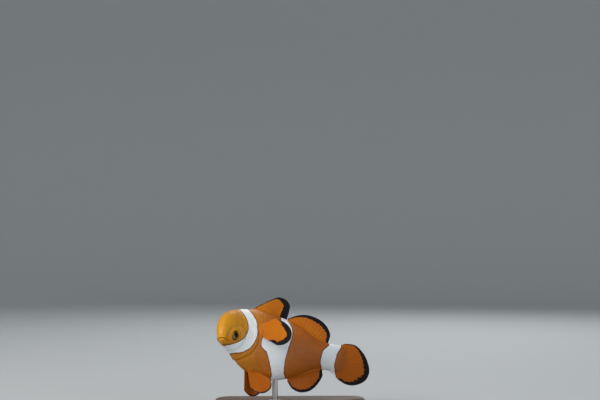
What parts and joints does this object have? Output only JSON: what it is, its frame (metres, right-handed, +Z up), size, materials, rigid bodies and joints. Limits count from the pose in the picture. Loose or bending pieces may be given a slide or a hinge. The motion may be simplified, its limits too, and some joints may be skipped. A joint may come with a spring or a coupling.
{
  "type": "clownfish model",
  "caption": "Life-size false clown anemonefish in a turning swim, white-barred, held over a flat base by one short rod.",
  "frame": {"origin": "centre of the underside of the stand's base, on the surface that the model stands on", "axes": "+Z up, the fish faces -X with its left side to -Y, and +X runs along the base towards the tail fin"},
  "size_m": [0.0688, 0.042, 0.0507],
  "materials": {
    "golden_head": "moist scaled skin, golden yellow",
    "amber_skin": "moist scaled skin, amber orange with white bars",
    "fin": "rayed fin membrane, orange with a black margin",
    "eye": "wet and glossy",
    "base_wood": "satin varnish",
    "rod_steel": "brushed"
  },
  "bodies": {
    "root": {"head": "golden_head", "trunk": "amber_skin", "tail": "amber_skin", "eye_left": "eye", "eye_right": "eye", "dorsal_fin_spiny": "fin", "dorsal_fin_soft": "fin", "anal_fin": "fin", "caudal_fin": "fin", "pectoral_fin_left": "fin", "pectoral_fin_right": "fin", "pelvic_fin_left": "fin", "pelvic_fin_right": "fin", "stand_base": "base_wood", "stand_rod": "rod_steel", "stand_collar": "rod_steel"}
  },
  "joints": []
}
